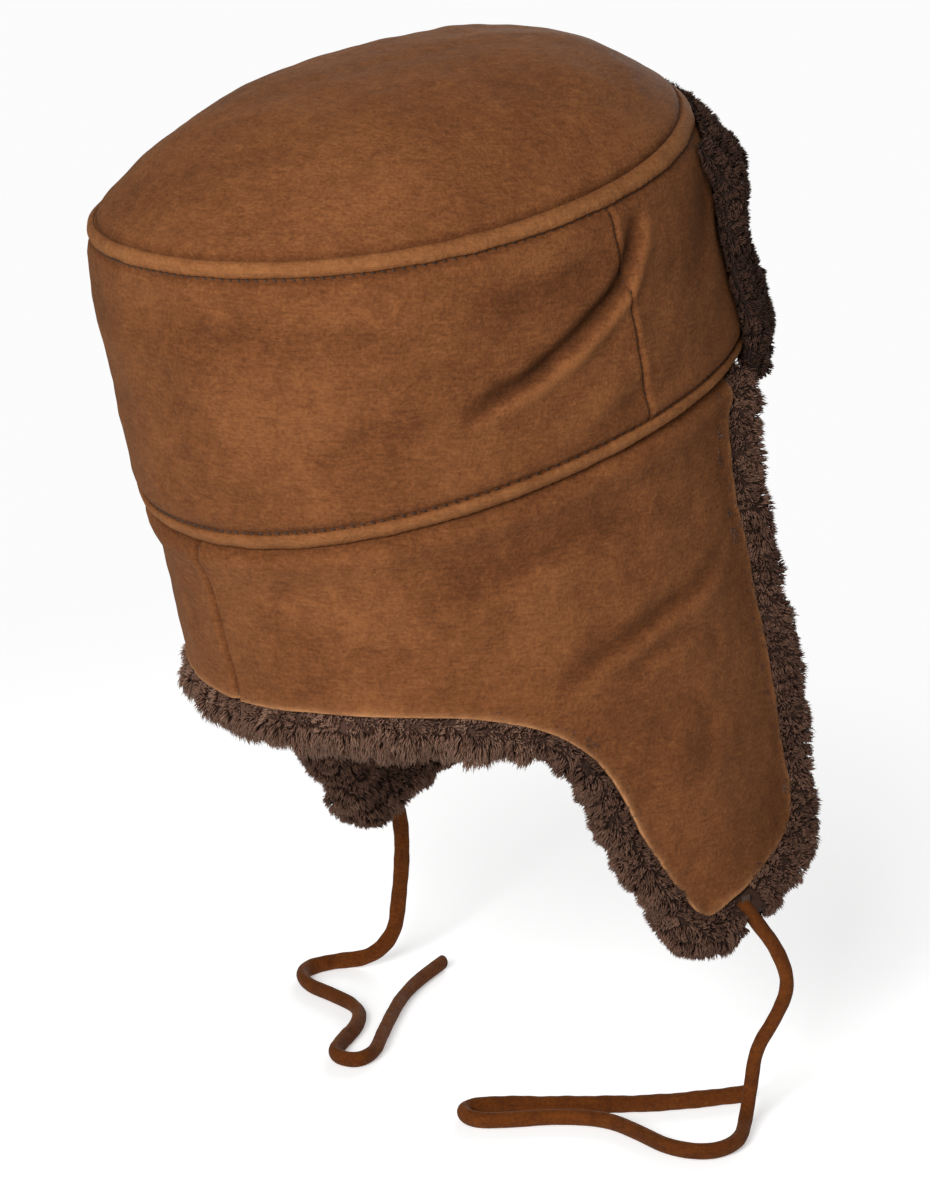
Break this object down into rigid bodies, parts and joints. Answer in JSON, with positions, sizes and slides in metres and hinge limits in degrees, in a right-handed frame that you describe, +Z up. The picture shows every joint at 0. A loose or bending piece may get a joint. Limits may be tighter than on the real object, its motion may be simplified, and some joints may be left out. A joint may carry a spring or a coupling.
{
  "type": "sheepskin trapper hat",
  "caption": "Sheepskin trapper hat with a tall domed crown, a turned-up front flap, a deep neck cuff, folding ear flaps and chin ties, suede outside and wool inside.",
  "frame": {"origin": "centre of the head opening, in the plane of the seam between crown and cuff", "axes": "+Z up as worn, -Y to the front of the hat, +X to the wearer's left"},
  "size_m": [0.2476, 0.2692, 0.4003],
  "materials": {
    "suede": "soft brown suede with a fine nap",
    "suede_edge": "rubbed suede over a puffed seam edge",
    "wool": "short dense dark brown shearling with paler tips",
    "thread": "dark brown waxed sewing thread",
    "tie_suede": "narrow strip of brown suede, darker at its edges"
  },
  "bodies": {
    "crown": {"crown_top_skin": "suede", "crown_top_pile": "wool", "band_front_skin": "suede", "band_back_skin": "suede", "band_front_pile": "wool", "band_back_pile": "wool", "top_seam_welt": "suede_edge", "cuff_seam_welt": "suede_edge", "top_seam_thread": "thread", "cuff_seam_thread": "thread", "side_seam_thread_right": "thread", "side_seam_thread_left": "thread", "neck_panel_right_skin": "suede", "neck_panel_left_skin": "suede", "neck_panel_right_pile": "wool", "neck_panel_left_pile": "wool", "back_seam_thread": "thread"},
    "right_ear_flap": {"ear_flap_right_skin": "suede", "ear_flap_right_pile": "wool", "right_tie": "tie_suede", "right_tie_tack": "thread"},
    "left_ear_flap": {"ear_flap_left_skin": "suede", "ear_flap_left_pile": "wool", "left_tie": "tie_suede", "left_tie_tack": "thread"},
    "front_flap": {"front_flap_skin": "suede", "front_flap_pile": "wool"}
  },
  "joints": [
    {"name": "right_ear_flap_fold", "type": "hinge", "parent": "crown", "child": "right_ear_flap", "pos_m": [-0.0996, -0.028, -0.1], "axis": [0, 1, 0], "range_deg": [0, 165]},
    {"name": "left_ear_flap_fold", "type": "hinge", "parent": "crown", "child": "left_ear_flap", "pos_m": [0.0996, -0.028, -0.1], "axis": [0, -1, 0], "range_deg": [0, 165]},
    {"name": "front_flap_fold", "type": "hinge", "parent": "crown", "child": "front_flap", "pos_m": [0, -0.1223, 0.03], "axis": [1, 0, 0], "range_deg": [0, 100]}
  ]
}
